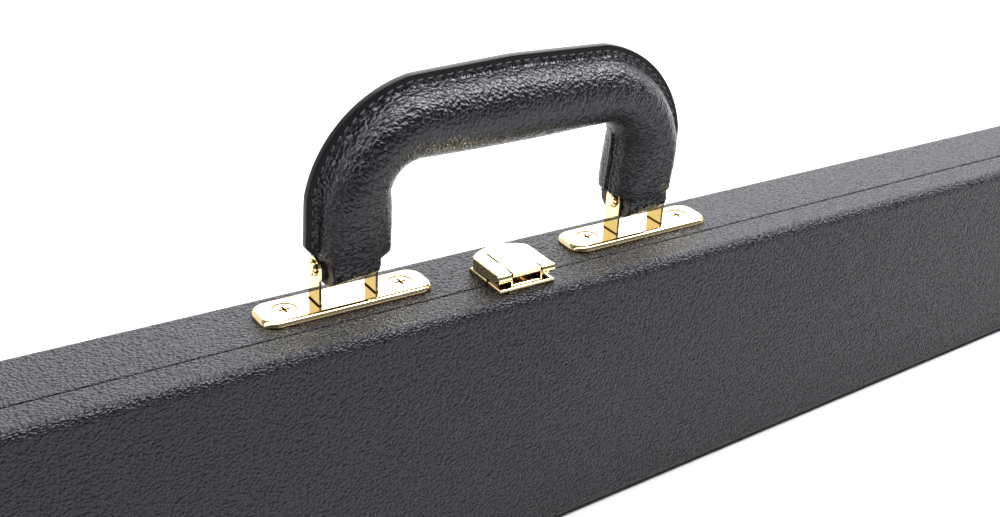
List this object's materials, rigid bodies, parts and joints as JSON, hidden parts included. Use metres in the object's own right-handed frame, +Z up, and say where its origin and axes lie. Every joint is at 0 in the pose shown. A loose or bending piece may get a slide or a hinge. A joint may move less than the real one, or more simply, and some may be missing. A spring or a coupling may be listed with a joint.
{
  "type": "double bass bow case",
  "caption": "Slim tapered carrying case for a double bass bow: hinged lid, padded leather loop handle on top, snap latch and lined interior with stick rests.",
  "frame": {"origin": "centre of the bounding box at the bottom, hinge-side face, under the handle", "axes": "+X along the length from the frog end to the tip end, +Y from the lid to the base half, +Z up towards the handle"},
  "size_m": [0.8, 0.0416, 0.1754],
  "materials": {
    "leatherette": "pebbled semi-gloss",
    "plywood": "raw",
    "pine": "raw",
    "velvet": "velvet",
    "button": "polished",
    "hinge_metal": "satin",
    "gilt": "bright",
    "handle_leather": "fine-grain semi-gloss",
    "handle_core": "matt",
    "bar_steel": "plain",
    "bush": "matt"
  },
  "bodies": {
    "base": {"base_back_panel": "plywood", "base_top_rail": "pine", "base_bottom_rail": "pine", "base_frog_end": "pine", "base_tip_end": "pine", "base_covering": "leatherette", "base_hinge_strip": "leatherette", "base_lining": "velvet", "frog_rest": "velvet", "tip_rest": "velvet", "turn_button_screws": "hinge_metal", "hinge_1_base_leaf": "hinge_metal", "hinge_2_base_leaf": "hinge_metal", "hinge_3_base_leaf": "hinge_metal", "hinge_1_pin": "hinge_metal", "hinge_2_pin": "hinge_metal", "hinge_3_pin": "hinge_metal", "hinge_screws_base": "hinge_metal", "handle_plate_frog": "gilt", "handle_plate_tip": "gilt", "handle_strap_frog": "gilt", "handle_strap_tip": "gilt", "handle_pin_frog": "gilt", "handle_pin_tip": "gilt", "handle_plate_screws": "gilt", "latch_catch_plate": "gilt", "latch_catch_plate_rivets": "gilt"},
    "lid": {"lid_front_panel": "plywood", "lid_top_rail": "pine", "lid_bottom_rail": "pine", "lid_frog_end": "pine", "lid_tip_end": "pine", "lid_covering": "leatherette", "lid_hinge_strip": "leatherette", "lid_lining": "velvet", "hinge_1_lid_leaf": "hinge_metal", "hinge_2_lid_leaf": "hinge_metal", "hinge_3_lid_leaf": "hinge_metal", "hinge_screws_lid": "hinge_metal", "latch_base_plate": "gilt", "latch_base_plate_rivets": "gilt", "latch_pin": "gilt"},
    "handle": {"handle_cover": "handle_leather", "handle_core_near": "handle_core", "handle_core_far": "handle_core", "handle_bar": "bar_steel", "handle_bush_frog": "bush", "handle_bush_tip": "bush"},
    "latch_lever_body": {"latch_lever": "gilt", "latch_tongue": "gilt"},
    "frog_button_body": {"frog_turn_button": "button"},
    "tip_button_body": {"tip_turn_button": "button"}
  },
  "joints": [
    {"name": "lid_hinge", "type": "hinge", "parent": "base", "child": "lid", "pos_m": [0, -0.0069, 0.0022], "axis": [1, 0, 0], "range_deg": [0, 110]},
    {"name": "handle_swing", "type": "hinge", "parent": "base", "child": "handle", "pos_m": [0.00087, 0.0056, 0.11357], "axis": [-0.9981, 0, 0.0609], "range_deg": [-90, 90]},
    {"name": "latch_lift", "type": "hinge", "parent": "lid", "child": "latch_lever_body", "pos_m": [-0.0009, -0.013, 0.10421], "axis": [0.9981, 0, -0.0609], "range_deg": [0, 100]},
    {"name": "frog_button_turn", "type": "hinge", "parent": "base", "child": "frog_button_body", "pos_m": [-0.23, 0.003, 0.08876], "axis": [0, 1, 0], "range_deg": [0, 90]},
    {"name": "tip_button_turn", "type": "hinge", "parent": "base", "child": "tip_button_body", "pos_m": [0.29, 0.003, 0.05704], "axis": [0, 1, 0], "range_deg": [0, 90]}
  ]
}
